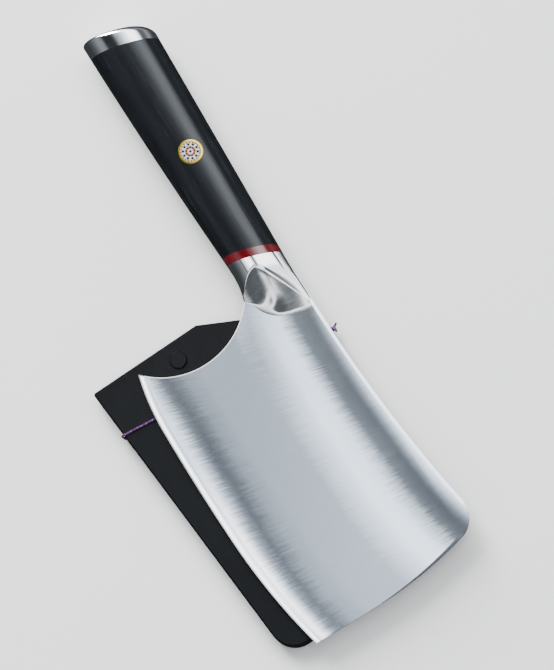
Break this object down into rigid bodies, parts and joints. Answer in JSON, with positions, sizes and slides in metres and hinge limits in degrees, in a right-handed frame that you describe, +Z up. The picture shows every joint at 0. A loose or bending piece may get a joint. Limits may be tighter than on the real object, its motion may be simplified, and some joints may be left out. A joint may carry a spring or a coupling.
{
  "type": "meat cleaver",
  "caption": "Meat cleaver with a swept spine, steel bolster and cap, black wooden grip with a mosaic pin, lying on its slim black sheath with a cord and lock pin.",
  "frame": {"origin": "on the table, under the centre of the box round the whole set", "axes": "+X from the butt of the grip to the front of the blade, +Y from the cutting edge to the spine, +Z up"},
  "size_m": [0.3004, 0.1177, 0.0256],
  "materials": {
    "blade_steel": "satin, brushed from the spine to the edge",
    "polished_steel": "mirror polished",
    "red_resin": "polished",
    "black_pakkawood": "polished, fine grain along the grip",
    "brass": "polished",
    "copper": "polished",
    "white_resin": "polished",
    "dark_rod": "polished",
    "black_wood": "satin black coating",
    "purple_cord": "twisted cord",
    "dark_wood": "satin"
  },
  "bodies": {
    "saya": {"saya_front": "black_wood", "saya_back": "black_wood", "saya_rim": "black_wood", "saya_cord": "purple_cord", "cord_knot": "purple_cord"},
    "cleaver": {"blade": "blade_steel", "bolster": "polished_steel", "red_spacer": "red_resin", "handle": "black_pakkawood", "end_cap": "polished_steel", "mosaic_tube": "brass", "mosaic_resin": "white_resin", "mosaic_core": "dark_rod", "mosaic_inner_rods": "copper", "mosaic_middle_rods": "dark_rod", "mosaic_outer_rods": "copper"},
    "lock_pin": {"lock_pin": "dark_wood"}
  },
  "joints": [
    {"name": "cleaver_lift", "type": "slide", "parent": "saya", "child": "cleaver", "axis": [0, 0, 1], "range_m": [0, 0.06]},
    {"name": "pin_pull", "type": "slide", "parent": "saya", "child": "lock_pin", "axis": [0, 0, 1], "range_m": [0, 0.012]}
  ]
}
